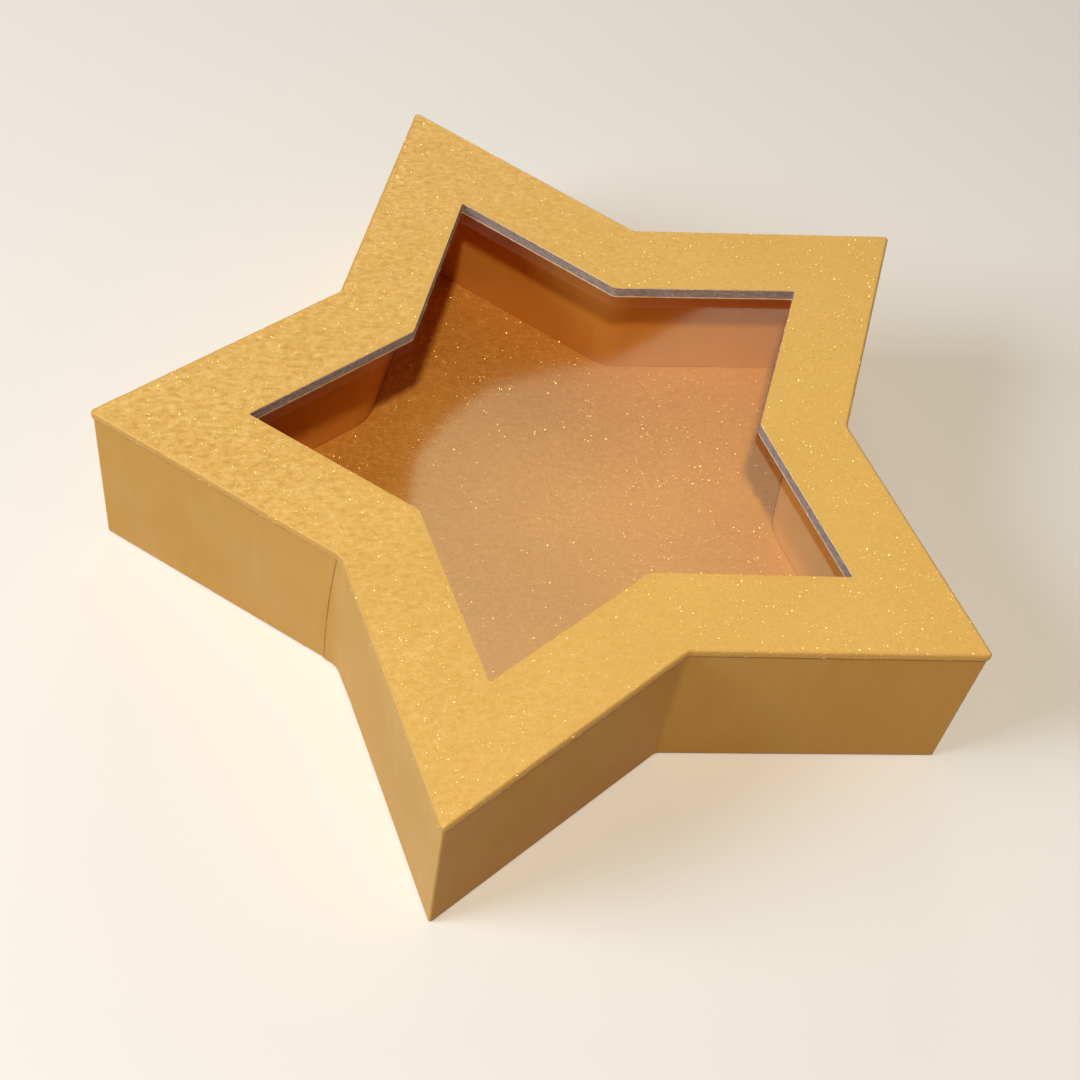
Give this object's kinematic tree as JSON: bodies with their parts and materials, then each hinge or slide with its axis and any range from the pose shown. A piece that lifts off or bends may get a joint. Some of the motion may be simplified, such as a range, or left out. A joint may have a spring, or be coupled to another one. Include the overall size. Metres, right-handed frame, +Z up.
{
  "type": "star box",
  "caption": "Star-shaped rigid gift box: a wrapped tray inside a full-depth lift-off lid with a clear star window.",
  "frame": {"origin": "centre of the star on the table, under the tray", "axes": "+Z up through the window, one tip of the star along +Y, +X to the right across the widest tips"},
  "size_m": [0.1798, 0.1711, 0.0398],
  "materials": {
    "greyboard": "raw grey recycled board, matte",
    "glitter_paper": "gold glitter paper, finely wrinkled and sparkling",
    "gold_wrap": "smooth satin gold paper",
    "lining_paper": "pale uncoated paper",
    "clear_film": "clear glossy plastic film"
  },
  "bodies": {
    "tray": {"tray_bottom_board": "greyboard", "tray_wall_board": "greyboard", "tray_side_paper": "gold_wrap", "tray_floor_paper": "glitter_paper", "tray_bottom_paper": "gold_wrap"},
    "lid": {"lid_top_board": "greyboard", "lid_wall_board": "greyboard", "lid_top_paper": "glitter_paper", "lid_side_paper": "gold_wrap", "lid_lining_paper": "lining_paper", "window_film": "clear_film"}
  },
  "joints": [
    {"name": "lid_lift", "type": "slide", "parent": "tray", "child": "lid", "axis": [0, 0, 1], "range_m": [0, 0.04]}
  ]
}
